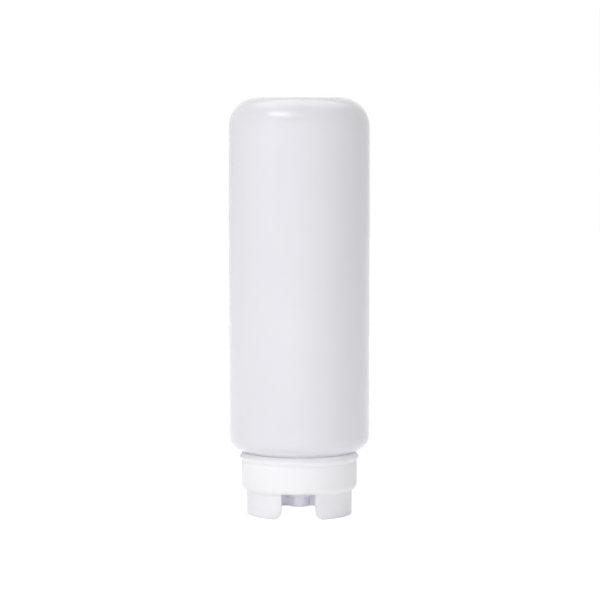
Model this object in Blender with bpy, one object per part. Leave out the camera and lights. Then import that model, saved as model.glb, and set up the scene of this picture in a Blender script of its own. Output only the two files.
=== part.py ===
"""Inverted squeeze bottle for sauce, standing on its screw cap.

A blow-moulded bottle stands neck down in a moulded cap. The cap has a flared lip, a plain band,
a deck with a collar and a spout, and a skirt cut into three feet. A flat ring seals the neck,
and a ring snapped into the collar clamps a cross-slit valve whose four flaps open downwards.

Metres, +Z up, origin on the table under the bottle's axis. One slot between two feet faces -Y.
Every profile is a list of (radius, height, corner radius), turned about Z.
"""

import math

import bmesh
import bpy
from mathutils import Matrix, Vector

# Fits and cuts
FIT_GAP = 0.0003
FLAP_GAP = 0.0002
OVERRUN = 0.004

# Cap: skirt, feet and deck
FOOT_HEIGHT = 0.01345
SLOT_WIDTH = 0.0169
SLOT_CORNER = 0.0008
SLOT_RIM = 0.00135
FOOT_CORNER = 0.005
FOOT_EDGE = 0.0004
FOOT_COUNT = 3
SKIRT_WALL = 0.0022
SKIRT_INSET = 0.00264
SKIRT_DRAFT = 0.00015
DECK_THICKNESS = 0.0018

# Cap: band, step and lip
THREAD_SPACE = 0.0018
BAND_WALL = 0.00214
STEP_ROUND = 0.0037
STEP_DROP = 0.0006
LIP_LAND = 0.0006
LIP_REACH = 0.00095
LIP_TIP_DROP = 0.00215
LIP_EDGE = 0.0002
NOTCH_DEPTH = 0.00047
NOTCH_DROP = 0.0043
BAND_DROP = 0.00535
SOCKET_CHAMFER = 0.0009

# Cap: valve collar and spout
COLLAR_BORE_RADIUS = 0.0072
COLLAR_WALL = 0.0014
COLLAR_DEPTH = 0.0060
COLLAR_EDGE = 0.0010
LEDGE_THICKNESS = 0.0014
SPOUT_BORE_RADIUS = 0.0048
SPOUT_WALL = 0.0008
SPOUT_LENGTH = 0.0054
SPOUT_EDGE = 0.0003
GROOVE_DEPTH = 0.0006
GROOVE_WIDTH = 0.0012

# Valve
FLANGE_THICKNESS = 0.0012
SLEEVE_WALL = 0.0006
SLEEVE_DROP = 0.0046
FACE_THICKNESS = 0.0005
FACE_MARGIN = 0.0003

# Valve retainer
RETAINER_SINK = 0.0002
RETAINER_BORE_RADIUS = 0.0042
FUNNEL_RADIUS = 0.0061
FUNNEL_DEPTH = 0.0022
BEAD_WIDTH = 0.0006
BEAD_LEAD = 0.0004

# Neck seal
SEAL_THICKNESS = 0.0012

# Bottle
NECK_RADIUS = 0.0260
NECK_WALL = 0.0019
NECK_HEIGHT = 0.01285
RIM_EDGE = 0.0005
NECK_ROOT = 0.0010
SHOULDER_SLOPE = math.radians(22.7)
SHOULDER_ROUND = 0.0083
BODY_RADIUS = 0.0365
BODY_DRAFT = 0.0006
BODY_HEIGHT = 0.18245
BASE_ROUND = 0.0148
BODY_WALL = 0.0012
PUSH_UP_RADIUS = 0.0165
PUSH_UP_DEPTH = 0.0020
PUSH_UP_SIDE = 0.0045
PUSH_UP_ROUND = 0.0030

# Facets: counts round the axis, and how far a facet may lie inside its arc
SEGMENTS = 60
SMALL_SEGMENTS = 36
FACET_DEPTH = 0.00008
SHARP_ANGLE = math.radians(35)

# Sizes of the cap that follow from the sizes above
SOCKET_RADIUS = NECK_RADIUS + THREAD_SPACE
BAND_RADIUS = SOCKET_RADIUS + BAND_WALL
SKIRT_RADIUS = BAND_RADIUS - SKIRT_INSET
SKIRT_INNER_RADIUS = SKIRT_RADIUS - SKIRT_WALL
COLLAR_RADIUS = COLLAR_BORE_RADIUS + COLLAR_WALL
SPOUT_RADIUS = SPOUT_BORE_RADIUS + SPOUT_WALL

# Sizes of the bottle that follow
NECK_INNER_RADIUS = NECK_RADIUS - NECK_WALL
BASE_RADIUS = BODY_RADIUS - BODY_DRAFT

# Heights that stack up from the table
DECK_UNDERSIDE = FOOT_HEIGHT + SLOT_RIM
DECK_TOP = DECK_UNDERSIDE + DECK_THICKNESS
LEDGE_TOP = DECK_TOP - COLLAR_DEPTH
COLLAR_BOTTOM = LEDGE_TOP - LEDGE_THICKNESS
SPOUT_MOUTH = COLLAR_BOTTOM - SPOUT_LENGTH
GROOVE_MIDDLE = DECK_TOP - DECK_THICKNESS / 2
SEAL_BOTTOM = DECK_TOP + FIT_GAP
NECK_RIM = SEAL_BOTTOM + SEAL_THICKNESS + FIT_GAP
NECK_TOP = NECK_RIM + NECK_HEIGHT
BASE_HEIGHT = NECK_TOP + BODY_HEIGHT
FLANGE_BOTTOM = LEDGE_TOP + FIT_GAP
FLANGE_TOP = FLANGE_BOTTOM + FLANGE_THICKNESS
FACE_BOTTOM = FLANGE_BOTTOM - SLEEVE_DROP


def shoulder_height(radius):
    """Height of the shoulder's outer cone at a radius."""
    return NECK_TOP + (radius - NECK_RADIUS) * math.tan(SHOULDER_SLOPE)


def arc_steps(radius, sweep):
    """Number of facets that keeps an arc within the facet depth, at least two."""
    depth = min(FACET_DEPTH / radius, 1)
    return max(2, math.ceil(sweep / (2 * math.acos(1 - depth))))


def tangent(before, corner, after, radius):
    """Length that an arc of a radius takes from each side of a corner."""
    back = Vector(before[:2]) - Vector(corner[:2])
    ahead = Vector(after[:2]) - Vector(corner[:2])
    return radius / math.tan(back.angle(ahead) / 2)


def round_corner(before, corner, after, radius):
    """Points of the arc of a radius that rounds one corner of an outline."""
    corner = Vector(corner[:2])
    back = (Vector(before[:2]) - corner).normalized()
    ahead = (Vector(after[:2]) - corner).normalized()
    half = back.angle(ahead) / 2
    centre = corner + (back + ahead).normalized() * radius / math.sin(half)
    start = corner + back * radius / math.tan(half) - centre
    end = corner + ahead * radius / math.tan(half) - centre
    sweep = math.pi - 2 * half
    steps = arc_steps(radius, sweep)
    points = []
    for step in range(steps + 1):
        turn = sweep * step / steps
        mixed = start * math.sin(sweep - turn) + end * math.sin(turn)
        points.append(tuple(centre + mixed / math.sin(sweep)))
    return points


def rounded(corners, closed=False):
    """Outline through corners of (across, up, corner radius), each arc limited by its sides."""
    count = len(corners)
    taken = []
    for index, corner in enumerate(corners):
        at_end = index in (0, count - 1) and not closed
        sharp = corner[2] == 0 or at_end
        after = corners[(index + 1) % count]
        taken.append(0 if sharp else tangent(corners[index - 1], corner, after, corner[2]))
    points = []
    for index, corner in enumerate(corners):
        if taken[index] == 0:
            points.append(corner[:2])
            continue
        share = 1
        for beside in (index - 1, (index + 1) % count):
            side = math.dist(corner[:2], corners[beside][:2])
            share = min(share, side / (taken[index] + taken[beside]))
        after = corners[(index + 1) % count]
        points += round_corner(corners[index - 1], corner, after, corner[2] * share)
    return points


def material(name, colour, roughness, transmission=0.0):
    """A moulded plastic or rubber finish."""
    finish = bpy.data.materials.new(name)
    finish.use_nodes = True
    shader = finish.node_tree.nodes["Principled BSDF"]
    shader.inputs["Base Color"].default_value = (*colour, 1.0)
    shader.inputs["Roughness"].default_value = roughness
    shader.inputs["Metallic"].default_value = 0.0
    shader.inputs["Transmission Weight"].default_value = transmission
    return finish


def place(name, mesh, finish, smooth=True):
    """An object of this name in the scene, with its finish and shading."""
    if finish:
        mesh.materials.append(finish)
    if smooth:
        mesh.shade_smooth()
        mesh.set_sharp_from_angle(angle=SHARP_ANGLE)
    thing = bpy.data.objects.new(name, mesh)
    bpy.context.scene.collection.objects.link(thing)
    return thing


def turned(name, outline, closed, segments):
    """Mesh of an outline in the XZ plane turned once about Z."""
    shape = bmesh.new()
    points = [shape.verts.new((across, 0, up)) for across, up in outline]
    ends = points[1:] + points[:1] if closed else points[1:]
    edges = [shape.edges.new(pair) for pair in zip(points, ends)]
    bmesh.ops.spin(
        shape,
        geom=points + edges,
        axis=(0, 0, 1),
        cent=(0, 0, 0),
        angle=math.tau,
        steps=segments,
        use_merge=True,
    )
    bmesh.ops.remove_doubles(shape, verts=shape.verts, dist=FIT_GAP / 100)
    bmesh.ops.recalc_face_normals(shape, faces=shape.faces)
    mesh = bpy.data.meshes.new(name)
    shape.to_mesh(mesh)
    shape.free()
    return mesh


def prism(name, outline, low, high, frame):
    """Mesh of a flat outline pushed from low to high along its normal, then set by a frame."""
    shape = bmesh.new()
    face = shape.faces.new([shape.verts.new((across, up, low)) for across, up in outline])
    pushed = bmesh.ops.extrude_face_region(shape, geom=[face])["geom"]
    moved = [item for item in pushed if isinstance(item, bmesh.types.BMVert)]
    bmesh.ops.translate(shape, verts=moved, vec=(0, 0, high - low))
    bmesh.ops.transform(shape, matrix=frame, verts=shape.verts)
    bmesh.ops.recalc_face_normals(shape, faces=shape.faces)
    mesh = bpy.data.meshes.new(name)
    shape.to_mesh(mesh)
    shape.free()
    return mesh


def cut(thing, name, mesh):
    """Cut a mesh out of an object with a hidden cutter."""
    cutter = place(name, mesh, None, smooth=False)
    cutter.hide_render = True
    cutter.display_type = "WIRE"
    difference = thing.modifiers.new(name, "BOOLEAN")
    difference.operation = "DIFFERENCE"
    difference.solver = "EXACT"
    difference.object = cutter


def build_bottle():
    """Blow-moulded bottle: open threaded neck below, shoulder, body and pushed-up base above."""
    wall_drop = BODY_WALL / math.cos(SHOULDER_SLOPE)
    inner_body = BODY_RADIUS - BODY_WALL
    inner_base = BASE_RADIUS - BODY_WALL
    push_up_floor = PUSH_UP_RADIUS - PUSH_UP_SIDE
    outside = rounded([
        (0, BASE_HEIGHT - PUSH_UP_DEPTH, 0),
        (push_up_floor, BASE_HEIGHT - PUSH_UP_DEPTH, PUSH_UP_ROUND),
        (PUSH_UP_RADIUS, BASE_HEIGHT, PUSH_UP_ROUND),
        (BASE_RADIUS, BASE_HEIGHT, BASE_ROUND),
        (BODY_RADIUS, shoulder_height(BODY_RADIUS), SHOULDER_ROUND),
        (NECK_RADIUS, NECK_TOP, NECK_ROOT),
        (NECK_RADIUS, NECK_RIM, 0),
    ])
    rim = rounded([
        (NECK_RADIUS, NECK_TOP, 0),
        (NECK_RADIUS, NECK_RIM, RIM_EDGE),
        (NECK_INNER_RADIUS, NECK_RIM, RIM_EDGE),
        (NECK_INNER_RADIUS, NECK_TOP, 0),
    ])
    inside = rounded([
        (NECK_INNER_RADIUS, NECK_RIM, 0),
        (NECK_INNER_RADIUS, shoulder_height(NECK_INNER_RADIUS) + wall_drop, NECK_ROOT + NECK_WALL),
        (inner_body, shoulder_height(inner_body) + wall_drop, SHOULDER_ROUND - BODY_WALL),
        (inner_base, BASE_HEIGHT - BODY_WALL, BASE_ROUND - BODY_WALL),
        (PUSH_UP_RADIUS, BASE_HEIGHT - BODY_WALL, PUSH_UP_ROUND),
        (push_up_floor, BASE_HEIGHT - BODY_WALL - PUSH_UP_DEPTH, PUSH_UP_ROUND),
        (0, BASE_HEIGHT - BODY_WALL - PUSH_UP_DEPTH, 0),
    ])
    outline = outside[:-1] + rim[1:-1] + inside[1:]
    finish = material("milky_polyethylene", (0.86, 0.86, 0.88), 0.35, 0.35)
    return place("bottle", turned("bottle", outline, False, SEGMENTS), finish)


def cap_outline():
    """Half section of the cap, from the lip round the outside, under the deck and back inside."""
    lip_top_radius = SOCKET_RADIUS + LIP_LAND
    lip_top = shoulder_height(lip_top_radius) - FIT_GAP
    lip = [
        (lip_top_radius, lip_top, LIP_EDGE),
        (BAND_RADIUS + LIP_REACH, lip_top - LIP_TIP_DROP, LIP_EDGE),
        (BAND_RADIUS - NOTCH_DEPTH, lip_top - NOTCH_DROP, LIP_EDGE),
        (BAND_RADIUS, lip_top - BAND_DROP, LIP_EDGE),
    ]
    step_centre = BAND_RADIUS - STEP_ROUND
    step_sweep = math.acos((SKIRT_RADIUS - step_centre) / STEP_ROUND)
    step_facets = arc_steps(STEP_ROUND, step_sweep)
    step = []
    for index in range(step_facets + 1):
        turn = step_sweep * index / step_facets
        across = step_centre + STEP_ROUND * math.cos(turn)
        step.append((across, DECK_TOP - STEP_DROP - STEP_ROUND * math.sin(turn), 0))
    foot_and_deck = [
        (SKIRT_RADIUS - SKIRT_DRAFT, 0, FOOT_EDGE),
        (SKIRT_INNER_RADIUS, 0, FOOT_EDGE),
        (SKIRT_INNER_RADIUS, DECK_UNDERSIDE, 0),
        (COLLAR_RADIUS, DECK_UNDERSIDE, 0),
        (COLLAR_RADIUS, COLLAR_BOTTOM, COLLAR_EDGE),
        (SPOUT_RADIUS, COLLAR_BOTTOM, 0),
        (SPOUT_RADIUS, SPOUT_MOUTH, SPOUT_EDGE),
        (SPOUT_BORE_RADIUS, SPOUT_MOUTH, 0),
        (SPOUT_BORE_RADIUS, LEDGE_TOP, 0),
        (COLLAR_BORE_RADIUS, LEDGE_TOP, 0),
    ]
    groove_radius = COLLAR_BORE_RADIUS + GROOVE_DEPTH
    groove_low = GROOVE_MIDDLE - GROOVE_WIDTH / 2
    groove_high = GROOVE_MIDDLE + GROOVE_WIDTH / 2
    bore_and_socket = [
        (COLLAR_BORE_RADIUS, groove_low, 0),
        (groove_radius, groove_low, 0),
        (groove_radius, groove_high, 0),
        (COLLAR_BORE_RADIUS, groove_high, 0),
        (COLLAR_BORE_RADIUS, DECK_TOP, 0),
        (SOCKET_RADIUS, DECK_TOP, 0),
        (SOCKET_RADIUS, lip_top - SOCKET_CHAMFER, 0),
    ]
    return rounded(lip + step + foot_and_deck + bore_and_socket, closed=True)


def slot_outline():
    """One slot between two feet: straight sides, small top corners, and round foot corners."""
    half = SLOT_WIDTH / 2
    side = rounded([
        (0, FOOT_HEIGHT, 0),
        (half, FOOT_HEIGHT, SLOT_CORNER),
        (half, FOOT_CORNER, 0),
    ])
    corner_facets = arc_steps(FOOT_CORNER, math.pi / 2)
    for index in range(1, corner_facets + 1):
        turn = math.pi / 2 * index / corner_facets
        across = half + FOOT_CORNER * (1 - math.cos(turn))
        side.append((across, FOOT_CORNER * (1 - math.sin(turn))))
    side.append((half + FOOT_CORNER, -OVERRUN))
    return side[1:] + [(-across, up) for across, up in reversed(side[1:])]


def build_cap():
    """Moulded screw cap that the bottle stands on, with a slot cut between each two feet."""
    finish = material("white_polypropylene", (0.90, 0.90, 0.92), 0.32)
    cap = place("cap", turned("cap", cap_outline(), True, SEGMENTS), finish)
    inner_end = (COLLAR_RADIUS + SKIRT_INNER_RADIUS) / 2
    outer_end = BAND_RADIUS + OVERRUN
    upright = Matrix.Rotation(math.pi / 2, 4, "X")
    for index in range(FOOT_COUNT):
        around = Matrix.Rotation(math.tau * index / FOOT_COUNT, 4, "Z")
        slot = prism("slot", slot_outline(), inner_end, outer_end, around @ upright)
        cut(cap, f"slot_{index + 1}", slot)
    return cap


def build_neck_seal():
    """Flat ring between the bottle's rim and the deck."""
    outline = [
        (NECK_INNER_RADIUS, SEAL_BOTTOM),
        (SOCKET_RADIUS - FIT_GAP, SEAL_BOTTOM),
        (SOCKET_RADIUS - FIT_GAP, SEAL_BOTTOM + SEAL_THICKNESS),
        (NECK_INNER_RADIUS, SEAL_BOTTOM + SEAL_THICKNESS),
    ]
    finish = material("seal_foam", (0.80, 0.82, 0.84), 0.7)
    return place("neck_seal", turned("neck_seal", outline, True, SEGMENTS), finish)


def slit_reach():
    """Half length of each slit, from the valve's centre to its end."""
    return SPOUT_BORE_RADIUS - FIT_GAP - SLEEVE_WALL - FACE_MARGIN


def build_valve(finish):
    """Soft valve: clamped flange, sleeve down the spout, and a face with a square opening."""
    sleeve_radius = SPOUT_BORE_RADIUS - FIT_GAP
    outline = [
        (0, FACE_BOTTOM + FACE_THICKNESS),
        (sleeve_radius - SLEEVE_WALL, FACE_BOTTOM + FACE_THICKNESS),
        (sleeve_radius - SLEEVE_WALL, FLANGE_TOP),
        (COLLAR_BORE_RADIUS - FIT_GAP, FLANGE_TOP),
        (COLLAR_BORE_RADIUS - FIT_GAP, FLANGE_BOTTOM),
        (sleeve_radius, FLANGE_BOTTOM),
        (sleeve_radius, FACE_BOTTOM),
        (0, FACE_BOTTOM),
    ]
    valve = place("valve", turned("valve", outline, False, SMALL_SEGMENTS), finish)
    reach = slit_reach()
    square = [(reach, 0), (0, reach), (-reach, 0), (0, -reach)]
    low = FACE_BOTTOM - OVERRUN
    high = FACE_BOTTOM + FACE_THICKNESS + OVERRUN
    cut(valve, "slit_square", prism("slit_square", square, low, high, Matrix.Identity(4)))
    return valve


def build_flap(index, finish):
    """One flap of the valve's face: a triangle hung by its long lower edge.

    The ends of that edge are cut back, by what the flap's thickness needs to swing down past the
    next flap: a point at height z and distance s from the fold comes sqrt(z*z + s*s) - s closer.
    """
    fold = slit_reach() / math.sqrt(2) - FLAP_GAP
    side_gap = FLAP_GAP / math.sqrt(2)
    half_edge = fold - side_gap
    end_cut = FACE_THICKNESS
    relief = FACE_THICKNESS * FACE_THICKNESS / (2 * side_gap)
    outline = [
        (0, half_edge - end_cut),
        (-relief, half_edge - relief),
        (side_gap - fold, 0),
        (-relief, relief - half_edge),
        (0, end_cut - half_edge),
    ]
    turn = math.pi / 4 + math.pi / 2 * index
    hinge = Matrix.Rotation(turn, 4, "Z") @ Matrix.Translation((fold, 0, FACE_BOTTOM))
    mesh = prism("valve_flap", outline, 0, FACE_THICKNESS, Matrix.Identity(4))
    flap = place(f"valve_flap_{index + 1}", mesh, finish, smooth=False)
    flap.matrix_world = hinge
    return flap


def build_valve_retainer():
    """Ring pressed into the collar over the valve, with a snap bead and a draining funnel."""
    bottom = FLANGE_TOP + FIT_GAP
    top = DECK_TOP - RETAINER_SINK
    outer = COLLAR_BORE_RADIUS - FIT_GAP
    bead = COLLAR_BORE_RADIUS + GROOVE_DEPTH - FIT_GAP
    outline = [
        (RETAINER_BORE_RADIUS, bottom),
        (outer, bottom),
        (outer, GROOVE_MIDDLE - BEAD_WIDTH / 2 - BEAD_LEAD),
        (bead, GROOVE_MIDDLE - BEAD_WIDTH / 2 + FIT_GAP),
        (bead, GROOVE_MIDDLE + BEAD_WIDTH / 2),
        (outer, GROOVE_MIDDLE + BEAD_WIDTH / 2),
        (outer, top),
        (FUNNEL_RADIUS, top),
        (RETAINER_BORE_RADIUS, top - FUNNEL_DEPTH),
    ]
    finish = material("retainer_polypropylene", (0.88, 0.88, 0.89), 0.35)
    mesh = turned("valve_retainer", outline, True, SMALL_SEGMENTS)
    return place("valve_retainer", mesh, finish)


for leftover in list(bpy.data.objects):
    bpy.data.objects.remove(leftover, do_unlink=True)

build_bottle()
build_cap()
build_neck_seal()
build_valve_retainer()
silicone = material("valve_silicone", (0.82, 0.84, 0.86), 0.45, 0.3)
build_valve(silicone)
for flap_index in range(4):
    build_flap(flap_index, silicone)
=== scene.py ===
"""Looks of an inverted sauce bottle that stands on its screw cap.

Metres, +Z up, origin on the table under the bottle's axis. The front slot faces -Y.
"""

import math

import bmesh
import bpy
import numpy as np
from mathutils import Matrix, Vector


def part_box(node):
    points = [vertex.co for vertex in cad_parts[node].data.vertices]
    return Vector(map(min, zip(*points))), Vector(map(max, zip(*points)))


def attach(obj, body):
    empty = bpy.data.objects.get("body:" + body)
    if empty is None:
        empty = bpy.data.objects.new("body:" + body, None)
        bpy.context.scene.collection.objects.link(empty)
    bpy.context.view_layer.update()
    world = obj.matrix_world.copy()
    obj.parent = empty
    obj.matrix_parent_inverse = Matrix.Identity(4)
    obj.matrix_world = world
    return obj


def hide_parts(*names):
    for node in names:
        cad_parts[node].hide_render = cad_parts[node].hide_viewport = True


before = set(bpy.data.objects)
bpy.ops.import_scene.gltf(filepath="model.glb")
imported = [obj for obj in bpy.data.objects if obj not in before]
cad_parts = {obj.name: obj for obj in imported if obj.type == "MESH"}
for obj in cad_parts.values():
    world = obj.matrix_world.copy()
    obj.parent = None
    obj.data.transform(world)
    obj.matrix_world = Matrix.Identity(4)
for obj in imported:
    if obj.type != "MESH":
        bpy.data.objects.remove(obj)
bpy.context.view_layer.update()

# Cap
# The white screw cap is one injection moulding in polypropylene: lip, band, deck, valve collar,
# spout and a skirt that three slots cut into feet. It has a single thread in its socket, from
# which the mould's core is unscrewed, a fine satin finish and softly rounded edges.
CAP_SOCKET_RADIUS = 0.0278
CAP_BAND_RADIUS = 0.02994
CAP_SKIRT_RADIUS = 0.0273
CAP_SKIRT_INNER_RADIUS = 0.0251
CAP_SKIRT_DRAFT = 0.00015
CAP_STEP_ROUND = 0.0037
CAP_STEP_TOP = 0.0160
CAP_STEP_FILLET = 0.0005
CAP_FOOT_HEIGHT = 0.01345
CAP_SLOT_HALF = 0.00845
CAP_SLOT_CORNER = 0.0008
CAP_FOOT_CORNER = 0.0050
CAP_FOOT_COUNT = 3
CAP_EDGE = 0.0004
CAP_RIM_EDGE = 0.0002
CAP_DECK_UNDERSIDE = 0.0148
CAP_DECK_TOP = 0.0166
CAP_LIP_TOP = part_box("cap")[1].z
CAP_LIP_SEAT = 0.00040
CAP_LIP_CROWN_RADIUS = 0.0296
CAP_LIP_CROWN_DROP = 0.0003
CAP_LIP_REACH = 0.00095
CAP_LIP_TIP_DROP = 0.00215
CAP_NOTCH_DEPTH = 0.00047
CAP_NOTCH_DROP = 0.0043
CAP_BAND_DROP = 0.00535
CAP_COLLAR_RADIUS = 0.0086
CAP_COLLAR_BORE = 0.0072
CAP_COLLAR_BOTTOM = 0.0092
CAP_LEDGE_TOP = 0.0106
CAP_SPOUT_RADIUS = 0.0056
CAP_SPOUT_BORE = 0.0048
CAP_SPOUT_MOUTH = 0.0038
CAP_GROOVE_DEPTH = 0.0006
CAP_GROOVE_LOW = 0.0151
CAP_GROOVE_HIGH = 0.0163
CAP_MOUTH_FLARE = 0.0006
CAP_MOUTH_DROP = 0.0009
CAP_CREASE = 0.0001
CAP_FINE_CORNER = 0.0002
CAP_SOFT_CORNER = 0.0003
CAP_ROUND_CORNER = 0.0010
CAP_OUTLINE_POINTS = (9, 8, 14, 12, 17)
CAP_OUTSIDE_ROWS = 22
CAP_EDGE_ROWS = 5
CAP_UNDERSIDE_ROWS = 7
CAP_RIM_ROWS = 4
CAP_INSIDE_ROWS = 12
CAP_LEVEL_HEIGHT = 0.0118
CAP_LEVEL_SHARE = 0.2
CAP_UPPER_SHARE = 0.65
CAP_SPACING = 0.0010
CAP_LIP_SPACING = 0.00050
CAP_TONES = ((0.898, 0.892, 0.985), (0.910, 0.904, 0.990))
CAP_ROUGHNESS = (0.34, 0.46)
CAP_CLOUD_SCALE = 90
CAP_GRAIN_SCALE = 2600
CAP_GLOW_DEPTH = (0.0010, 0.0040)
FINE_RELIEF = 0.00001
THREAD_PITCH = 0.0050
THREAD_HEIGHT = 0.0014
THREAD_CREST_WIDTH = 0.0009
THREAD_ROOT_WIDTH = 0.0023
THREAD_FADES_A_TURN = 6
THREAD_SPACING = 0.00035
CAP_THREAD_LOW = 0.0190
CAP_THREAD_HIGH = 0.0285
CAP_THREAD_PHASE = 0.65
FINEST_TURN = 0.12
FEWEST_TURNS = 4
ROUNDING_FLATNESS = 0.00002
MERGE_DISTANCE = 2e-7
FLAT_EDGE = 1e-7
SAME_RADIUS = 1e-6


def rounded_path(corners, step, closed=False):
    """Points along straight sides through (across, up, radius) corners, each rounded by an arc.

    A side is spaced evenly, at most one step apart, and an arc is c + a*sin(s-t) + b*sin(t)
    over sin(s), where a and b point from the arc's centre c to its two ends and s is its sweep.
    Its points lie closer together in angle the larger its radius is.
    """
    places = np.array([corner[:2] for corner in corners], float)
    count = len(corners)
    stretches = []
    for index, (_, _, radius) in enumerate(corners):
        corner = places[index]
        if radius == 0 or (not closed and index in (0, count - 1)):
            stretches.append(corner[None, :])
            continue
        back = places[index - 1] - corner
        ahead = places[(index + 1) % count] - corner
        back /= np.linalg.norm(back)
        ahead /= np.linalg.norm(ahead)
        half = math.acos(np.clip(back @ ahead, -1, 1)) / 2
        bisector = (back + ahead) / np.linalg.norm(back + ahead)
        centre = corner + bisector * radius / math.sin(half)
        start = corner + back * radius / math.tan(half) - centre
        end = corner + ahead * radius / math.tan(half) - centre
        sweep = math.pi - 2 * half
        turn_step = max(FINEST_TURN, math.sqrt(ROUNDING_FLATNESS / radius))
        turns = np.linspace(0, sweep, max(FEWEST_TURNS, math.ceil(sweep / turn_step)))[:, None]
        arc = (start * np.sin(sweep - turns) + end * np.sin(turns)) / math.sin(sweep)
        stretches.append(centre + arc)
    path = []
    for index, stretch in enumerate(stretches):
        path.append(stretch)
        if index == count - 1 and not closed:
            break
        far = stretches[(index + 1) % count][0]
        near = stretch[-1]
        steps = max(1, math.ceil(np.linalg.norm(far - near) / step))
        shares = np.linspace(0, 1, steps + 1)[1:-1, None]
        path.append(near + (far - near) * shares)
    return np.concatenate(path)


def grid_mesh(name, across, up, height, wrap_rows=False):
    """Closed mesh over a grid of points, rows by columns, whose columns go once round.

    Each quad joins a point to the next in its row and in the row below. Where the rows don't
    wrap, the first and last row are poles on the axis and are merged to one point each.
    """
    rows, columns = across.shape
    points = np.stack([across, up, height], axis=-1).reshape(-1, 3)
    index = np.arange(rows * columns).reshape(rows, columns)
    below = np.roll(index, -1, axis=0)
    if not wrap_rows:
        index, below = index[:-1], below[:-1]
    quads = np.stack([index, below, np.roll(below, -1, axis=1), np.roll(index, -1, axis=1)], axis=-1)
    mesh = bpy.data.meshes.new(name)
    mesh.from_pydata(points, [], quads.reshape(-1, 4).tolist())
    piece = bpy.data.objects.new(name, mesh)
    bpy.context.scene.collection.objects.link(piece)
    return piece


def seal_and_smooth(piece, sharp_degrees=38):
    """Merge the poles and seams, point the faces outwards and shade the piece smooth."""
    shape = bmesh.new()
    shape.from_mesh(piece.data)
    bmesh.ops.remove_doubles(shape, verts=shape.verts, dist=MERGE_DISTANCE)
    bmesh.ops.dissolve_degenerate(shape, edges=shape.edges, dist=FLAT_EDGE)
    bmesh.ops.recalc_face_normals(shape, faces=shape.faces)
    shape.to_mesh(piece.data)
    shape.free()
    piece.data.shade_smooth()
    piece.data.set_sharp_from_angle(angle=math.radians(sharp_degrees))
    return piece


def turned_piece(name, path, columns, wrap_rows):
    """Surface of revolution: x = r cos a, y = r sin a, z = z for a path of (r, z)."""
    angle = np.arange(columns) * math.tau / columns
    across = path[:, :1] * np.cos(angle)
    up = path[:, :1] * np.sin(angle)
    height = np.repeat(path[:, 1:], columns, axis=1)
    return seal_and_smooth(grid_mesh(name, across, up, height, wrap_rows))


def thread_ridge(height, angle, low, high, phase):
    """Share, from 0 to 1, that a helical ridge stands out at a height and angle.

    The ridge's middle climbs one pitch a turn, and a phase raises it by that share of a pitch.
    Its section is a trapezium, and it fades in and out over a sixth of a turn at both ends.
    """
    turn = (height - low) / THREAD_PITCH
    start = (angle / math.tau + phase) % 1
    turns = np.round(turn - start)
    off = np.abs(turn - start - turns) * THREAD_PITCH
    flank = (THREAD_ROOT_WIDTH - THREAD_CREST_WIDTH) / 2
    ridge = np.clip((THREAD_ROOT_WIDTH / 2 - off) / flank, 0, 1)
    along = turns + start
    last = (high - low) / THREAD_PITCH
    fade = np.clip(np.minimum(along, last - along) * THREAD_FADES_A_TURN, 0, 1)
    ridge = ridge * fade
    return ridge * ridge * (3 - 2 * ridge)


def cap_outline_columns():
    """One sixth of the feet's lower outline, from a slot's middle to a foot's middle.

    Returns x across the slot, height, the unit normal into the plastic, and the share of the way
    along the foot's underside, which is 0 on the slot itself.
    """
    half, corner, foot = CAP_SLOT_HALF, CAP_SLOT_CORNER, CAP_FOOT_CORNER
    top = CAP_FOOT_HEIGHT
    ceiling_points, corner_points, wall_points, foot_points, under_points = CAP_OUTLINE_POINTS
    ceiling = np.linspace(0, half - corner, ceiling_points)
    small = np.linspace(0, math.pi / 2, corner_points)[1:]
    wall = np.linspace(top - corner, foot, wall_points)[1:]
    large = np.linspace(0, math.pi / 2, foot_points)[1:]
    under = np.linspace(0, 1, under_points)[1:]
    x = np.concatenate([
        ceiling,
        half - corner + corner * np.sin(small),
        np.full(len(wall), half),
        half + foot - foot * np.cos(large),
        np.full(len(under), half + foot),
    ])
    z = np.concatenate([
        np.full(len(ceiling), top),
        top - corner + corner * np.cos(small),
        wall,
        foot - foot * np.sin(large),
        np.zeros(len(under)),
    ])
    inward_x = np.concatenate([
        np.zeros(len(ceiling)),
        np.sin(small),
        np.ones(len(wall)),
        np.cos(large),
        np.zeros(len(under)),
    ])
    inward_z = np.concatenate([
        np.ones(len(ceiling)),
        np.cos(small),
        np.zeros(len(wall)),
        np.sin(large),
        np.ones(len(under)),
    ])
    along = np.concatenate([np.zeros(len(x) - len(under)), under])
    return x, z, inward_x, inward_z, along


def cap_outer_radius(height):
    """Outside radius under the band: the step's arc, then the drafted skirt, with a soft corner."""
    centre = CAP_BAND_RADIUS - CAP_STEP_ROUND
    drop = np.clip(CAP_STEP_TOP - height, 0, CAP_STEP_ROUND)
    step = centre + np.sqrt(CAP_STEP_ROUND**2 - drop**2)
    meet = CAP_STEP_TOP - math.sqrt(CAP_STEP_ROUND**2 - (CAP_SKIRT_RADIUS - centre) ** 2)
    skirt = CAP_SKIRT_RADIUS - CAP_SKIRT_DRAFT * np.clip(meet - height, 0, meet) / meet
    spread = step - skirt
    soft = CAP_STEP_FILLET / 2
    return skirt + (spread + np.sqrt(spread**2 + soft**2)) / 2


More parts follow.
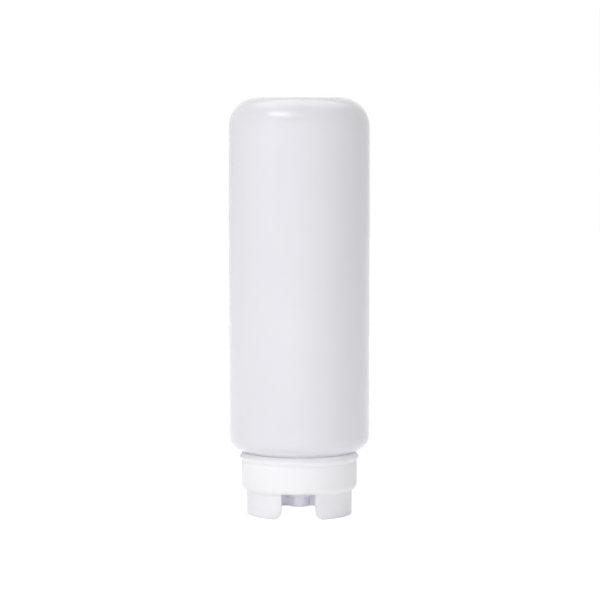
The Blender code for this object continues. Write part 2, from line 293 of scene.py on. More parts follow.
def make_cap():
    """The cap's whole surface: one closed section carried round the axis.

    Column t has a uniform angle on the turned parts. Between the band and the deck's underside
    the section follows the feet's outline instead: down the outside, round an edge, across the
    wall, round the inner edge and up the inside, the angle sliding evenly in between.
    """
    x, z, inward_x, inward_z, along = cap_outline_columns()
    sixth = math.pi / CAP_FOOT_COUNT
    even = np.linspace(0, sixth, len(x))

    def angle_at(shift, radius):
        """Angle from the slot's middle of the outline moved into the plastic, at a radius."""
        angle = np.arcsin((x + inward_x * shift) / radius)
        return angle + (sixth - angle) * along

    rows_angle, rows_radius, rows_height = [], [], []

    def add_row(angle, radius, height):
        rows_angle.append(angle + np.zeros(len(x)))
        rows_radius.append(radius + np.zeros(len(x)))
        rows_height.append(height + np.zeros(len(x)))

    edge_height = z + inward_z * CAP_EDGE
    edge_angle = angle_at(CAP_EDGE, cap_outer_radius(edge_height))
    # The rows run nearly level from the band to a middle height, then bend to follow the feet
    above_edge = edge_height + (CAP_STEP_TOP - edge_height) * CAP_LEVEL_SHARE
    middle = np.maximum(CAP_LEVEL_HEIGHT, above_edge)
    for share in np.linspace(0, 1, CAP_OUTSIDE_ROWS + 1)[1:]:
        lower = np.clip((share - CAP_UPPER_SHARE) / (1 - CAP_UPPER_SHARE), 0, 1)
        upper = np.clip(share / CAP_UPPER_SHARE, 0, 1)
        height = CAP_STEP_TOP + (middle - CAP_STEP_TOP) * upper + (edge_height - middle) * lower
        slide = (CAP_STEP_TOP - height) / (CAP_STEP_TOP - edge_height)
        add_row(even + (edge_angle - even) * slide, cap_outer_radius(height), height)
    for turn in np.linspace(0, math.pi / 2, CAP_EDGE_ROWS + 1)[1:]:
        shift = CAP_EDGE * (1 - math.sin(turn))
        height = z + inward_z * shift
        radius = cap_outer_radius(height) - CAP_EDGE * (1 - math.cos(turn))
        add_row(angle_at(shift, radius), radius, height)
    outer = cap_outer_radius(z) - CAP_EDGE
    inner = CAP_SKIRT_INNER_RADIUS + CAP_RIM_EDGE
    for share in np.linspace(0, 1, CAP_UNDERSIDE_ROWS + 1)[1:]:
        radius = outer + (inner - outer) * share
        add_row(angle_at(0, radius), radius, z)
    for turn in np.linspace(math.pi / 2, 0, CAP_RIM_ROWS + 1)[1:]:
        shift = CAP_RIM_EDGE * (1 - math.sin(turn))
        radius = CAP_SKIRT_INNER_RADIUS + CAP_RIM_EDGE * (1 - math.cos(turn))
        add_row(angle_at(shift, radius), radius, z + inward_z * shift)
    inner_edge = z + inward_z * CAP_RIM_EDGE
    inner_angle = angle_at(CAP_RIM_EDGE, CAP_SKIRT_INNER_RADIUS)
    for share in np.linspace(0, 1, CAP_INSIDE_ROWS + 1)[1:-1]:
        height = inner_edge + (CAP_DECK_UNDERSIDE - inner_edge) * share
        slide = (CAP_DECK_UNDERSIDE - height) / (CAP_DECK_UNDERSIDE - inner_edge)
        add_row(even + (inner_angle - even) * slide, CAP_SKIRT_INNER_RADIUS, height)

    groove = CAP_COLLAR_BORE + CAP_GROOVE_DEPTH
    thread_root = CAP_THREAD_LOW - CAP_EDGE
    thread_end = CAP_THREAD_HIGH + CAP_EDGE
    below = rounded_path([
        (CAP_SKIRT_INNER_RADIUS, CAP_DECK_UNDERSIDE, 0),
        (CAP_COLLAR_RADIUS, CAP_DECK_UNDERSIDE, CAP_SOFT_CORNER),
        (CAP_COLLAR_RADIUS, CAP_COLLAR_BOTTOM, CAP_ROUND_CORNER),
        (CAP_SPOUT_RADIUS, CAP_COLLAR_BOTTOM, CAP_FINE_CORNER),
        (CAP_SPOUT_RADIUS, CAP_SPOUT_MOUTH, CAP_SOFT_CORNER),
        (CAP_SPOUT_BORE, CAP_SPOUT_MOUTH, CAP_CREASE),
        (CAP_SPOUT_BORE, CAP_LEDGE_TOP, CAP_CREASE),
        (CAP_COLLAR_BORE, CAP_LEDGE_TOP, CAP_CREASE),
        (CAP_COLLAR_BORE, CAP_GROOVE_LOW, CAP_CREASE),
        (groove, CAP_GROOVE_LOW, CAP_CREASE),
        (groove, CAP_GROOVE_HIGH, CAP_CREASE),
        (CAP_COLLAR_BORE, CAP_GROOVE_HIGH, CAP_CREASE),
        (CAP_COLLAR_BORE, CAP_DECK_TOP, CAP_CREASE),
        (CAP_SOCKET_RADIUS, CAP_DECK_TOP, CAP_SOFT_CORNER),
        (CAP_SOCKET_RADIUS, thread_root, 0),
    ], CAP_SPACING)
    threaded = rounded_path([
        (CAP_SOCKET_RADIUS, thread_root, 0),
        (CAP_SOCKET_RADIUS, thread_end, 0),
    ], THREAD_SPACING)
    above = rounded_path([
        (CAP_SOCKET_RADIUS, thread_end, 0),
        (CAP_SOCKET_RADIUS, CAP_LIP_TOP - CAP_MOUTH_DROP, CAP_FINE_CORNER),
        (CAP_SOCKET_RADIUS + CAP_MOUTH_FLARE, CAP_LIP_TOP + CAP_LIP_SEAT, CAP_CREASE),
        (CAP_LIP_CROWN_RADIUS, CAP_LIP_TOP - CAP_LIP_CROWN_DROP, CAP_ROUND_CORNER),
        (CAP_BAND_RADIUS + CAP_LIP_REACH, CAP_LIP_TOP - CAP_LIP_TIP_DROP, CAP_FINE_CORNER),
        (CAP_BAND_RADIUS - CAP_NOTCH_DEPTH, CAP_LIP_TOP - CAP_NOTCH_DROP, CAP_SOFT_CORNER),
        (CAP_BAND_RADIUS, CAP_LIP_TOP - CAP_BAND_DROP, CAP_SOFT_CORNER),
        (CAP_BAND_RADIUS, CAP_STEP_TOP, 0),
    ], CAP_LIP_SPACING)
    for radius, height in np.concatenate([below, threaded[1:], above[1:]]):
        add_row(even, radius, height)

    angle = np.array(rows_angle)
    radius = np.array(rows_radius)
    height = np.array(rows_height)
    mirrored = slice(None, None, -1)
    angle = np.concatenate([-angle[:, mirrored], angle[:, 1:-1]], axis=1)
    radius = np.concatenate([radius[:, mirrored], radius[:, 1:-1]], axis=1)
    height = np.concatenate([height[:, mirrored], height[:, 1:-1]], axis=1)
    angle = np.concatenate([angle + 2 * sixth * k for k in range(CAP_FOOT_COUNT)], axis=1)
    angle = angle - math.pi / 2
    radius = np.tile(radius, CAP_FOOT_COUNT)
    height = np.tile(height, CAP_FOOT_COUNT)
    in_socket = np.abs(radius - CAP_SOCKET_RADIUS) < SAME_RADIUS
    ridge = thread_ridge(height, angle, CAP_THREAD_LOW, CAP_THREAD_HIGH, CAP_THREAD_PHASE)
    radius = radius - THREAD_HEIGHT * ridge * in_socket
    across = radius * np.cos(angle)
    up = radius * np.sin(angle)
    return seal_and_smooth(grid_mesh("cap_moulding", across, up, height, wrap_rows=True))


def new_material(name):
    """A node material with its shader and its output, and nothing else."""
    finish = bpy.data.materials.new(name)
    finish.use_nodes = True
    return finish, finish.node_tree, finish.node_tree.nodes["Principled BSDF"]


def link(tree, source, target):
    """Join one node's output to another's input."""
    tree.links.new(source, target)


def object_coordinates(tree):
    """The piece's own coordinates, in metres."""
    return tree.nodes.new("ShaderNodeTexCoord").outputs["Object"]


def noise(tree, coordinates, scale, detail=3.0, rough=0.5):
    """Cloudy noise, from 0 to 1, with a grain of one over the scale."""
    node = tree.nodes.new("ShaderNodeTexNoise")
    node.inputs["Scale"].default_value = scale
    node.inputs["Detail"].default_value = detail
    node.inputs["Roughness"].default_value = rough
    link(tree, coordinates, node.inputs["Vector"])
    return node.outputs["Fac"]


def remap(tree, value, low, high, first=0.0, last=1.0):
    """A value between a first and a last one, spread between two others."""
    node = tree.nodes.new("ShaderNodeMapRange")
    node.inputs["From Min"].default_value = first
    node.inputs["From Max"].default_value = last
    node.inputs["To Min"].default_value = low
    node.inputs["To Max"].default_value = high
    link(tree, value, node.inputs["Value"])
    return node.outputs["Result"]


def two_tones(tree, share, first, second):
    """Colour between two tones. The mix node's colour sockets are 6 and 7 in and 2 out."""
    node = tree.nodes.new("ShaderNodeMix")
    node.data_type = "RGBA"
    node.inputs[6].default_value = (*first, 1)
    node.inputs[7].default_value = (*second, 1)
    link(tree, share, node.inputs["Factor"])
    return node.outputs[2]


def bump(tree, height, depth, shader):
    """A relief of a depth in metres on the shader's normal."""
    node = tree.nodes.new("ShaderNodeBump")
    node.inputs["Distance"].default_value = depth
    link(tree, height, node.inputs["Height"])
    link(tree, node.outputs["Normal"], shader.inputs["Normal"])


def combined(tree, operation, first, second):
    """One value worked out from two by a math operation."""
    node = tree.nodes.new("ShaderNodeMath")
    node.operation = operation
    link(tree, first, node.inputs[0])
    link(tree, second, node.inputs[1])
    return node.outputs[0]


def axis_distance_and_height(tree, place):
    """Distance from the bottle's axis, and height over the table."""
    level = tree.nodes.new("ShaderNodeVectorMath")
    level.operation = "MULTIPLY"
    level.inputs[1].default_value = (1, 1, 0)
    link(tree, place, level.inputs[0])
    length = tree.nodes.new("ShaderNodeVectorMath")
    length.operation = "LENGTH"
    link(tree, level.outputs[0], length.inputs[0])
    apart = tree.nodes.new("ShaderNodeSeparateXYZ")
    link(tree, place, apart.inputs[0])
    return length.outputs["Value"], apart.outputs["Z"]


def cap_finish():
    """White polypropylene: satin, faintly cloudy, with a fine moulded grain.

    Light goes deeper into the thin feet than into the collar, the spout and the band.
    """
    finish, tree, shader = new_material("white_polypropylene")
    place = object_coordinates(tree)
    clouds = noise(tree, place, CAP_CLOUD_SCALE)
    grain = noise(tree, place, CAP_GRAIN_SCALE, detail=2.0)
    link(tree, two_tones(tree, clouds, *CAP_TONES), shader.inputs["Base Color"])
    link(tree, remap(tree, grain, *CAP_ROUGHNESS), shader.inputs["Roughness"])
    bump(tree, grain, FINE_RELIEF, shader)
    shader.inputs["IOR"].default_value = 1.49
    shader.inputs["Specular IOR Level"].default_value = 0.3
    shader.inputs["Subsurface Weight"].default_value = 1.0
    shader.inputs["Subsurface Radius"].default_value = (1, 1, 1)
    distance, height = axis_distance_and_height(tree, place)
    shallow, deep = CAP_GLOW_DEPTH
    outward = remap(tree, distance, shallow, deep, CAP_COLLAR_RADIUS, CAP_SKIRT_INNER_RADIUS)
    downward = remap(tree, height, deep, shallow, CAP_FOOT_HEIGHT, CAP_STEP_TOP)
    link(tree, combined(tree, "MINIMUM", outward, downward), shader.inputs["Subsurface Scale"])
    return finish


cap = make_cap()
cap.data.materials.append(cap_finish())
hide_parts("cap")
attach(cap, "cap")

# Valve
# The valve is moulded in one piece of clear silicone rubber and dropped into the collar. Its
# face is slit crosswise, and the four quarters between the slits bend down under a squeeze.
VALVE_FLANGE = (0.0069, 0.0109, 0.0121)
VALVE_SLEEVE_RADIUS = 0.0045
VALVE_SLEEVE_WALL = 0.0006
VALVE_FACE = (0.0063, 0.0068)
VALVE_SLIT_REACH = 0.0036
VALVE_FLAP_GAP = 0.0002
VALVE_FLAP_COUNT = 4
VALVE_FLAP_REACH = 0.0009
VALVE_FLAP_SHARES = (1.0, 0.6, 0.3)
VALVE_FLAP_SPACING = 0.0002
VALVE_EDGE = 0.00012
VALVE_CREASE = 0.0001
VALVE_CORNER = 0.0002
VALVE_FACE_CORNER = 0.0003
VALVE_FACE_SHARE = 0.96
VALVE_FACE_ROWS = 6
VALVE_EDGE_ROWS = 5
VALVE_SPACING = 0.0003
VALVE_COLUMNS = 144
VALVE_TONES = ((0.80, 0.82, 0.84), (0.88, 0.89, 0.90))
VALVE_ROUGHNESS = (0.35, 0.60)
VALVE_BLOOM_SCALE = 700
VALVE_GLOW_DEPTH = 0.002


def silicone():
    """Clear silicone rubber with a dusty bloom."""
    finish, tree, shader = new_material("valve_silicone")
    place = object_coordinates(tree)
    bloom = noise(tree, place, VALVE_BLOOM_SCALE, detail=4.0)
    link(tree, two_tones(tree, bloom, *VALVE_TONES), shader.inputs["Base Color"])
    link(tree, remap(tree, bloom, *VALVE_ROUGHNESS), shader.inputs["Roughness"])
    bump(tree, bloom, FINE_RELIEF, shader)
    shader.inputs["IOR"].default_value = 1.41
    shader.inputs["Subsurface Weight"].default_value = 0.6
    shader.inputs["Subsurface Radius"].default_value = (1, 1, 1)
    shader.inputs["Subsurface Scale"].default_value = VALVE_GLOW_DEPTH
    return finish


def make_valve():
    """Turned flange and sleeve, whose face closes from a circle to a square opening.

    In the last rows of the face a point lies between the circle and the square, in a share that
    grows from 0 at the sleeve to 1 at the opening's edge.
    """
    inner = VALVE_SLEEVE_RADIUS - VALVE_SLEEVE_WALL
    flange, flange_low, flange_high = VALVE_FLANGE
    low, high = VALVE_FACE
    path = rounded_path([
        (inner * VALVE_FACE_SHARE, high, 0),
        (inner, high, VALVE_CREASE),
        (inner, flange_high, VALVE_CORNER),
        (flange, flange_high, VALVE_CORNER),
        (flange, flange_low, VALVE_CORNER),
        (VALVE_SLEEVE_RADIUS, flange_low, VALVE_CREASE),
        (VALVE_SLEEVE_RADIUS, low, VALVE_FACE_CORNER),
        (inner * VALVE_FACE_SHARE, low, 0),
    ], VALVE_SPACING)
    angle = np.arange(VALVE_COLUMNS) * math.tau / VALVE_COLUMNS
    across = path[:, :1] * np.cos(angle)
    up = path[:, :1] * np.sin(angle)
    height = np.repeat(path[:, 1:], len(angle), axis=1)
    square = VALVE_SLIT_REACH / (np.abs(np.cos(angle)) + np.abs(np.sin(angle)))
    shares = np.linspace(0, 1, VALVE_FACE_ROWS + 1)[1:, None]
    radius = path[-1, 0] + (square - path[-1, 0]) * shares
    under = [radius * np.cos(angle), radius * np.sin(angle), np.full(radius.shape, low)]
    over = [radius[::-1] * np.cos(angle), radius[::-1] * np.sin(angle), np.full(radius.shape, high)]
    across = np.concatenate([across, under[0], over[0]])
    up = np.concatenate([up, under[1], over[1]])
    height = np.concatenate([height, under[2], over[2]])
    return seal_and_smooth(grid_mesh("valve_moulding", across, up, height, wrap_rows=True))


def make_flap(index):
    """One quarter of the face: rows shrink from its rim to its middle, above and below."""
    fold = VALVE_SLIT_REACH / math.sqrt(2) - VALVE_FLAP_GAP
    gap = VALVE_FLAP_GAP / math.sqrt(2)
    low, high = VALVE_FACE
    thick = high - low
    half = fold - gap
    relief = thick * thick / (2 * gap)
    corners = [
        (fold, half - thick, VALVE_CORNER),
        (fold - relief, half - relief, VALVE_CORNER),
        (gap, 0, VALVE_CORNER),
        (fold - relief, relief - half, VALVE_CORNER),
        (fold, thick - half, VALVE_CORNER),
    ]
    rim = rounded_path(corners, VALVE_FLAP_SPACING, closed=True)
    middle = rim.mean(axis=0)
    edge = VALVE_EDGE
    turns = np.linspace(0, math.pi / 2, VALVE_EDGE_ROWS)
    shrink = np.concatenate([VALVE_FLAP_SHARES, edge / VALVE_FLAP_REACH * (1 - np.sin(turns))])
    rise = np.concatenate([[high] * len(VALVE_FLAP_SHARES), high - edge * (1 - np.cos(turns))])
    drop = low + high - rise[::-1]
    shrink = np.concatenate([shrink, shrink[::-1]])
    rise = np.concatenate([rise, drop])
    spot = rim[None] + (middle - rim)[None] * shrink[:, None, None]
    turn = math.pi / 4 + math.pi / 2 * index
    across = spot[..., 0] * math.cos(turn) - spot[..., 1] * math.sin(turn)
    up = spot[..., 0] * math.sin(turn) + spot[..., 1] * math.cos(turn)
    height = np.repeat(rise[:, None], spot.shape[1], axis=1)
    return seal_and_smooth(grid_mesh(f"valve_flap_{index + 1}_moulding", across, up, height))


rubber = silicone()
valve = make_valve()
valve.data.materials.append(rubber)
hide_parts("valve")
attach(valve, "cap")
for flap_index in range(VALVE_FLAP_COUNT):
    flap = make_flap(flap_index)
    flap.data.materials.append(rubber)
    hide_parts(f"valve_flap_{flap_index + 1}")
    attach(flap, f"flap_{flap_index + 1}")

# Valve retainer
# A ring moulded in natural polypropylene is pressed into the collar over the valve's flange. Its
# bead snaps into the collar's groove, and its funnel drains the sauce into the valve.
RETAINER_BORE = 0.0042
RETAINER_RADIUS = 0.0069
RETAINER_BOTTOM = 0.0124
RETAINER_TOP = 0.0164
RETAINER_FUNNEL_RADIUS = 0.0061
RETAINER_THROAT_TOP = 0.0142
RETAINER_BEAD = 0.0006
RETAINER_BEAD_ROOT = 0.0150
RETAINER_BEAD_CREST = 0.0157
RETAINER_BEAD_TOP = 0.0160
RETAINER_CREASE = 0.0001
RETAINER_CORNER = 0.0002
RETAINER_THROAT_ROUND = 0.0005
RETAINER_SPACING = 0.0003
RETAINER_COLUMNS = 192
RETAINER_TONES = ((0.84, 0.84, 0.83), (0.89, 0.89, 0.88))
RETAINER_ROUGHNESS = (0.3, 0.45)
RETAINER_CLOUD_SCALE = 300
RETAINER_GLOW_DEPTH = 0.0015


def make_retainer():
    """Surface of revolution through the underside, the bead, the top and the funnel."""
    bead = RETAINER_RADIUS + RETAINER_BEAD
    path = rounded_path([
        (RETAINER_BORE, RETAINER_BOTTOM, RETAINER_CORNER),
        (RETAINER_RADIUS, RETAINER_BOTTOM, RETAINER_CORNER),
        (RETAINER_RADIUS, RETAINER_BEAD_ROOT, RETAINER_CREASE),
        (bead, RETAINER_BEAD_CREST, RETAINER_CREASE),
        (bead, RETAINER_BEAD_TOP, RETAINER_CREASE),
        (RETAINER_RADIUS, RETAINER_BEAD_TOP, RETAINER_CREASE),
        (RETAINER_RADIUS, RETAINER_TOP, RETAINER_CORNER),
        (RETAINER_FUNNEL_RADIUS, RETAINER_TOP, RETAINER_CORNER),
        (RETAINER_BORE, RETAINER_THROAT_TOP, RETAINER_THROAT_ROUND),
    ], RETAINER_SPACING, closed=True)
    return turned_piece("valve_retainer_ring", path, RETAINER_COLUMNS, True)


def retainer_finish():
    """Natural polypropylene: slightly warm and waxy."""
    finish, tree, shader = new_material("natural_polypropylene")
    clouds = noise(tree, object_coordinates(tree), RETAINER_CLOUD_SCALE)
    link(tree, two_tones(tree, clouds, *RETAINER_TONES), shader.inputs["Base Color"])
    link(tree, remap(tree, clouds, *RETAINER_ROUGHNESS), shader.inputs["Roughness"])
    shader.inputs["Subsurface Weight"].default_value = 0.4
    shader.inputs["Subsurface Radius"].default_value = (1, 1, 1)
    shader.inputs["Subsurface Scale"].default_value = RETAINER_GLOW_DEPTH
    return finish


retainer = make_retainer()
retainer.data.materials.append(retainer_finish())
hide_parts("valve_retainer")
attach(retainer, "cap")

# Neck seal
# A flat ring punched from closed-cell foam lies on the deck, and the bottle's rim presses into
# it. It stays in the cap when the bottle is unscrewed.
seal_low, seal_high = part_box("neck_seal")
SEAL_BORE = 0.0241
SEAL_CREASE = 0.0001
SEAL_CORNER = 0.0002
SEAL_SPACING = 0.0004
SEAL_COLUMNS = 240
SEAL_TONES = ((0.83, 0.84, 0.85), (0.74, 0.76, 0.78))
SEAL_ROUGHNESS = (0.6, 0.8)
SEAL_CELL_SCALE = 2200
SEAL_CLOUD_SCALE = 400
SEAL_CELL_DEPTH = 0.00003


def make_seal():
    """Surface of revolution through the ring's four corners."""
    path = rounded_path([
        (SEAL_BORE, seal_low.z, SEAL_CREASE),
        (seal_high.x, seal_low.z, SEAL_CORNER),
        (seal_high.x, seal_high.z, SEAL_CORNER),
        (SEAL_BORE, seal_high.z, SEAL_CREASE),
    ], SEAL_SPACING, closed=True)
    return turned_piece("neck_seal_ring", path, SEAL_COLUMNS, True)


def foam_finish():
    """Closed-cell foam: fine pits in an off-white skin."""
    finish, tree, shader = new_material("seal_foam")
    place = object_coordinates(tree)
    cells = tree.nodes.new("ShaderNodeTexVoronoi")
    cells.inputs["Scale"].default_value = SEAL_CELL_SCALE
    link(tree, place, cells.inputs["Vector"])
    tone = two_tones(tree, cells.outputs["Distance"], *SEAL_TONES)
    clouds = noise(tree, place, SEAL_CLOUD_SCALE)
    link(tree, tone, shader.inputs["Base Color"])
    link(tree, remap(tree, clouds, *SEAL_ROUGHNESS), shader.inputs["Roughness"])
    bump(tree, cells.outputs["Distance"], SEAL_CELL_DEPTH, shader)
    return finish


seal = make_seal()
seal.data.materials.append(foam_finish())
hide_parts("neck_seal")
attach(seal, "seal")

# Bottle
# The bottle is blow-moulded in natural low-density polyethylene, so it is milky and lets light
# through, with a parting line down both sides and a pinched seam across its pushed-up base.
bottle_low, bottle_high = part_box("bottle")
NECK_RADIUS = 0.0260
NECK_INNER_RADIUS = 0.0241
NECK_TOP = 0.03125
NECK_STRAIGHT = 0.0014
NECK_CORNER = 0.0010
NECK_INNER_ROUND = 0.0029
NECK_RIM_CORNER = 0.0005
NECK_THREAD_LOW = 0.0205
NECK_THREAD_HIGH = 0.0295
NECK_THREAD_PHASE = 0.0
SHOULDER_SLOPE = math.radians(22.7)
SHOULDER_TAN = math.tan(SHOULDER_SLOPE)
SHOULDER_COS = math.cos(SHOULDER_SLOPE)
SHOULDER_ROUND = 0.0083
BODY_DRAFT = 0.0006
BASE_ROUND = 0.0148
BODY_WALL = 0.0012
PUSH_UP_RADIUS = 0.0165
PUSH_UP_DEPTH = 0.0020
PUSH_UP_SIDE = 0.0045
PUSH_UP_ROUND = 0.0030
PARTING_HEIGHT = 0.00006
PARTING_WIDTH = 0.00035
PARTING_COLUMN_SHARES = (-2.0, -1.4, -1.0, -0.6, -0.3, 0.0, 0.3, 0.6, 1.0, 1.4, 2.0)
PINCH_HEIGHT = 0.0003
PINCH_WIDTH = 0.0005
PINCH_LENGTH = 0.0095
BOTTLE_COLUMNS = 288
PARTING_CLEAR_SHARE = 1.2
BOTTLE_SPACING = 0.0016
BOTTLE_INSIDE_SPACING = 0.003
BOTTLE_TONES = ((0.746, 0.740, 0.779), (0.776, 0.770, 0.809))
BOTTLE_ROUGHNESS = (0.17, 0.23)
BOTTLE_CLOUD_SCALE = 22
BOTTLE_RIPPLE_SCALE = 60
BOTTLE_GLOW_DEPTH = 0.0012


def shoulder_height(radius):
    """Height of the shoulder's outer cone at a radius."""
    return NECK_TOP + (radius - NECK_RADIUS) * SHOULDER_TAN


def bottle_angles(body):
    """Angles of the bottle's columns: even all round, and close together at the parting line."""
    even = np.arange(BOTTLE_COLUMNS) * math.tau / BOTTLE_COLUMNS
    close = np.array(PARTING_COLUMN_SHARES) * PARTING_WIDTH / body
    off = (even + math.pi / 2) % math.pi - math.pi / 2
    far = even[np.abs(off) > close[-1] * PARTING_CLEAR_SHARE]
    return np.sort(np.concatenate([far, close % math.tau, close + math.pi]))


def make_bottle():
    """Surface of revolution through the outside, the rim and the inside, with three reliefs.

    The neck's outside swells by the thread's ridge. Beside the plane y = 0 the outside swells by
    a bell curve of the distance from that plane, which is the parting line, and the middle of
    the pushed-up base rises by a wider one, where the mould pinched the tube shut.
    """
    body = bottle_high.x
    base = body - BODY_DRAFT
    top = bottle_high.z
    rim = bottle_low.z
    wall_drop = BODY_WALL / SHOULDER_COS
    inner_body = body - BODY_WALL
    inner_base = base - BODY_WALL
    floor = PUSH_UP_RADIUS - PUSH_UP_SIDE
    rim_middle = (NECK_RADIUS + NECK_INNER_RADIUS) / 2
    shell = rounded_path([
        (0, top - PUSH_UP_DEPTH, 0),
        (floor, top - PUSH_UP_DEPTH, PUSH_UP_ROUND),
        (PUSH_UP_RADIUS, top, PUSH_UP_ROUND),
        (base, top, BASE_ROUND),
        (body, shoulder_height(body), SHOULDER_ROUND),
        (NECK_RADIUS, NECK_TOP, NECK_CORNER),
        (NECK_RADIUS, NECK_TOP - NECK_STRAIGHT, 0),
    ], BOTTLE_SPACING)
    neck = rounded_path([
        (NECK_RADIUS, NECK_TOP - NECK_STRAIGHT, 0),
        (NECK_RADIUS, rim, NECK_RIM_CORNER),
        (rim_middle, rim, 0),
    ], THREAD_SPACING)
    inside = rounded_path([
        (rim_middle, rim, 0),
        (NECK_INNER_RADIUS, rim, NECK_RIM_CORNER),
        (NECK_INNER_RADIUS, shoulder_height(NECK_INNER_RADIUS) + wall_drop, NECK_INNER_ROUND),
        (inner_body, shoulder_height(inner_body) + wall_drop, SHOULDER_ROUND - BODY_WALL),
        (inner_base, top - BODY_WALL, BASE_ROUND - BODY_WALL),
        (PUSH_UP_RADIUS, top - BODY_WALL, PUSH_UP_ROUND),
        (floor, top - BODY_WALL - PUSH_UP_DEPTH, PUSH_UP_ROUND),
        (0, top - BODY_WALL - PUSH_UP_DEPTH, 0),
    ], BOTTLE_INSIDE_SPACING)
    angle = bottle_angles(body)
    path = np.concatenate([shell, neck[1:], inside[1:]])
    radius = np.repeat(path[:, :1], len(angle), axis=1)
    height = np.repeat(path[:, 1:], len(angle), axis=1)
    row = np.arange(len(path))[:, None]
    on_shell = row < len(shell)
    on_neck = (np.abs(radius - NECK_RADIUS) < SAME_RADIUS) & (row < len(shell) + len(neck))
    from_plane = radius * np.abs(np.sin(angle))
    seam = np.exp(-((from_plane / PARTING_WIDTH) ** 2))
    seam = seam * np.clip(radius / PUSH_UP_RADIUS - 1, 0, 1)
    pinch = np.exp(-((from_plane / PINCH_WIDTH) ** 2))
    pinch = pinch * np.clip((PINCH_LENGTH - radius) / PINCH_WIDTH, 0, 1) * on_shell
    height = height + PINCH_HEIGHT * pinch
    radius = radius + PARTING_HEIGHT * seam * on_shell
    ridge = thread_ridge(height, angle, NECK_THREAD_LOW, NECK_THREAD_HIGH, NECK_THREAD_PHASE)
    radius = radius + THREAD_HEIGHT * ridge * on_neck
    return seal_and_smooth(grid_mesh(
        "bottle_moulding", radius * np.cos(angle), radius * np.sin(angle), height
    ))


def bottle_finish():
    """Natural low-density polyethylene: milky, softly glossy, uneven by the blow mould."""
    finish, tree, shader = new_material("milky_polyethylene")
    place = object_coordinates(tree)
    clouds = noise(tree, place, BOTTLE_CLOUD_SCALE)
    ripple = noise(tree, place, BOTTLE_RIPPLE_SCALE, detail=2.0)
    link(tree, two_tones(tree, clouds, *BOTTLE_TONES), shader.inputs["Base Color"])
    link(tree, remap(tree, ripple, *BOTTLE_ROUGHNESS), shader.inputs["Roughness"])
    bump(tree, ripple, FINE_RELIEF, shader)
    shader.inputs["IOR"].default_value = 1.51
    shader.inputs["Subsurface Weight"].default_value = 0.6
    shader.inputs["Subsurface Radius"].default_value = (1, 1, 1)
    shader.inputs["Subsurface Scale"].default_value = BOTTLE_GLOW_DEPTH
    return finish


bottle = make_bottle()
bottle.data.materials.append(bottle_finish())
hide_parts("bottle")
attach(bottle, "bottle")

# Studio
# A pale floor under a soft sky, with soft boxes high at the front left, at the left side and
# above, and a low strip in front that lights the cap's slot. The camera has the photograph's view.
FLOOR_HALF = 3.0
FLOOR_DROP = 0.0001
FLOOR_TONE = 0.88
FLOOR_GLOW = 0.75
SKY_LOBES = (
    ((0, 1, 0), 0.88),
    ((-1, 0, 0), 0.60),
    ((1, 0, 0), 0.87),
    ((0, 0, 1), 0.20),
)
KEY_PLACE = (-0.584, -0.672, 1.180)
KEY_AIM = (0, 0, 0.1)
KEY_SIZE = (0.68, 0.42)
KEY_POWER = 4.7
SIDE_PLACE = (-1.079, -1.042, 0.58)
SIDE_AIM = (0, 0, 0.58)
SIDE_SIZE = (0.22, 0.90)
SIDE_POWER = 0.75
TOP_PLACE = (0.0, 0.50, 1.50)
TOP_AIM = (0, 0, 0.2)
TOP_SIZE = (1.8, 1.0)
TOP_POWER = 8.5
LOW_PLACE = (-0.14, -1.18, 0.055)
LOW_AIM = (0, 0, 0.01)
LOW_SIZE = (0.6, 0.09)
LOW_POWER = 6.2
LIGHT_BOUNCES = 8


def brightest(tree, *values):
    """The largest of several values."""
    largest = values[0]
    for value in values[1:]:
        largest = combined(tree, "MAXIMUM", largest, value)
    return largest


def make_floor():
    """A flat square on the table plane, a hair under the feet."""
    mesh = bpy.data.meshes.new("studio_floor")
    corners = [(-1, -1), (1, -1), (1, 1), (-1, 1)]
    points = [(FLOOR_HALF * x, FLOOR_HALF * y, -FLOOR_DROP) for x, y in corners]
    mesh.from_pydata(points, [], [(0, 1, 2, 3)])
    floor = bpy.data.objects.new("studio_floor", mesh)
    bpy.context.scene.collection.objects.link(floor)
    finish, tree, shader = new_material("studio_paper")
    shader.inputs["Roughness"].default_value = 0.9
    shader.inputs["Specular IOR Level"].default_value = 0.1
    shader.inputs["Base Color"].default_value = (FLOOR_TONE, FLOOR_TONE, FLOOR_TONE, 1)
    path = tree.nodes.new("ShaderNodeLightPath").outputs
    seen = brightest(tree, path["Is Camera Ray"], path["Is Glossy Ray"], path["Is Transmission Ray"])
    glow = tree.nodes.new("ShaderNodeMath")
    glow.operation = "MULTIPLY"
    glow.inputs[1].default_value = FLOOR_GLOW
    link(tree, seen, glow.inputs[0])
    shader.inputs["Emission Color"].default_value = (1, 1, 1, 1)
    link(tree, glow.outputs[0], shader.inputs["Emission Strength"])
    floor.data.materials.append(finish)


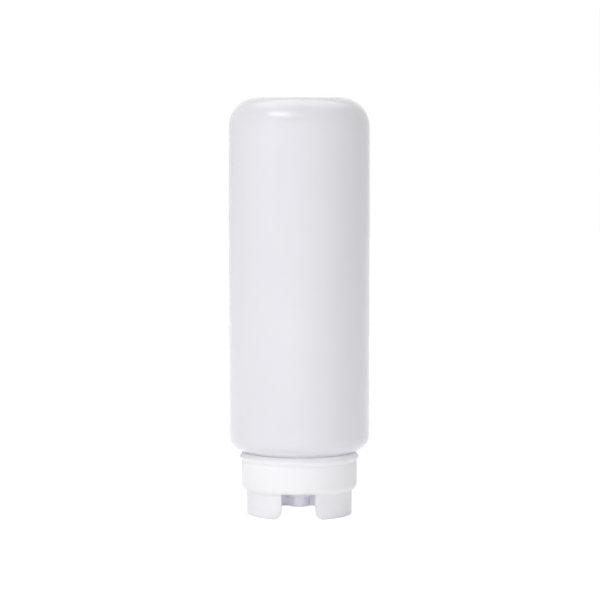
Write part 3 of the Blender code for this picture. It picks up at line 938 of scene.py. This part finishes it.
def make_world():
    """Soft light all round, whose strength is a sum over a few directions.

    Each direction gives strength * max(0, cos)^2 of the angle to it, so equal strengths make an
    even sky. Where the sky is seen or mirrored it is white.
    """
    world = bpy.data.worlds.new("studio")
    bpy.context.scene.world = world
    world.use_nodes = True
    tree = world.node_tree
    look = tree.nodes.new("ShaderNodeTexCoord").outputs["Generated"]
    total = None
    for direction, strength in SKY_LOBES:
        facing = tree.nodes.new("ShaderNodeVectorMath")
        facing.operation = "DOT_PRODUCT"
        facing.inputs[1].default_value = direction
        link(tree, look, facing.inputs[0])
        lobe = tree.nodes.new("ShaderNodeMath")
        lobe.operation = "MAXIMUM"
        lobe.inputs[1].default_value = 0
        link(tree, facing.outputs["Value"], lobe.inputs[0])
        square = tree.nodes.new("ShaderNodeMath")
        square.operation = "MULTIPLY"
        link(tree, lobe.outputs[0], square.inputs[0])
        link(tree, lobe.outputs[0], square.inputs[1])
        share = tree.nodes.new("ShaderNodeMath")
        share.operation = "MULTIPLY_ADD"
        share.inputs[1].default_value = strength
        share.inputs[2].default_value = 0
        link(tree, square.outputs[0], share.inputs[0])
        if total is not None:
            link(tree, total, share.inputs[2])
        total = share.outputs[0]
    sky = tree.nodes["Background"]
    sky.inputs["Color"].default_value = (1, 1, 1, 1)
    link(tree, total, sky.inputs["Strength"])
    white = tree.nodes.new("ShaderNodeBackground")
    white.inputs["Color"].default_value = (1, 1, 1, 1)
    white.inputs["Strength"].default_value = 1.0
    path = tree.nodes.new("ShaderNodeLightPath").outputs
    mix = tree.nodes.new("ShaderNodeMixShader")
    seen = brightest(tree, path["Is Camera Ray"], path["Is Glossy Ray"], path["Is Transmission Ray"])
    link(tree, seen, mix.inputs["Fac"])
    link(tree, sky.outputs[0], mix.inputs[1])
    link(tree, white.outputs[0], mix.inputs[2])
    link(tree, mix.outputs[0], tree.nodes["World Output"].inputs["Surface"])


def make_lamp(name, place, aim, size, power):
    """A rectangular soft box at a place, aimed at a point, with its width and its height."""
    data = bpy.data.lights.new(name, "AREA")
    data.shape = "RECTANGLE"
    data.size, data.size_y = size
    data.energy = power
    lamp = bpy.data.objects.new(name, data)
    lamp.location = place
    lamp.rotation_euler = (Vector(place) - Vector(aim)).to_track_quat("Z", "Y").to_euler()
    bpy.context.scene.collection.objects.link(lamp)
    return lamp


make_floor()
make_world()
make_lamp("key_softbox", KEY_PLACE, KEY_AIM, KEY_SIZE, KEY_POWER)
make_lamp("side_softbox", SIDE_PLACE, SIDE_AIM, SIDE_SIZE, SIDE_POWER)
make_lamp("top_softbox", TOP_PLACE, TOP_AIM, TOP_SIZE, TOP_POWER)
low_strip = make_lamp("low_strip", LOW_PLACE, LOW_AIM, LOW_SIZE, LOW_POWER)
# The strip only fills the cap's slot with light, so gloss doesn't mirror it
low_strip.visible_glossy = False
bpy.context.scene.cycles.diffuse_bounces = LIGHT_BOUNCES

CAMERA_LENS = 154.3
CAMERA_SENSOR = 36.0
CAMERA_DISTANCE = 1.3167
CAMERA_TURN = math.radians(1.0)
CAMERA_DIP = math.radians(4.14)
CAMERA_SIDESTEP = 0.0004
CAMERA_HEIGHT = 0.2054
camera_data = bpy.data.cameras.new("camera")
camera_data.lens = CAMERA_LENS
camera_data.sensor_width = CAMERA_SENSOR
camera = bpy.data.objects.new("camera", camera_data)
camera.location = (
    CAMERA_DISTANCE * math.sin(CAMERA_TURN) + CAMERA_SIDESTEP,
    -CAMERA_DISTANCE * math.cos(CAMERA_TURN),
    CAMERA_HEIGHT,
)
camera.rotation_euler = (math.pi / 2 - CAMERA_DIP, 0, CAMERA_TURN)
bpy.context.scene.collection.objects.link(camera)
bpy.context.scene.camera = camera
bpy.context.scene.view_settings.view_transform = "Standard"
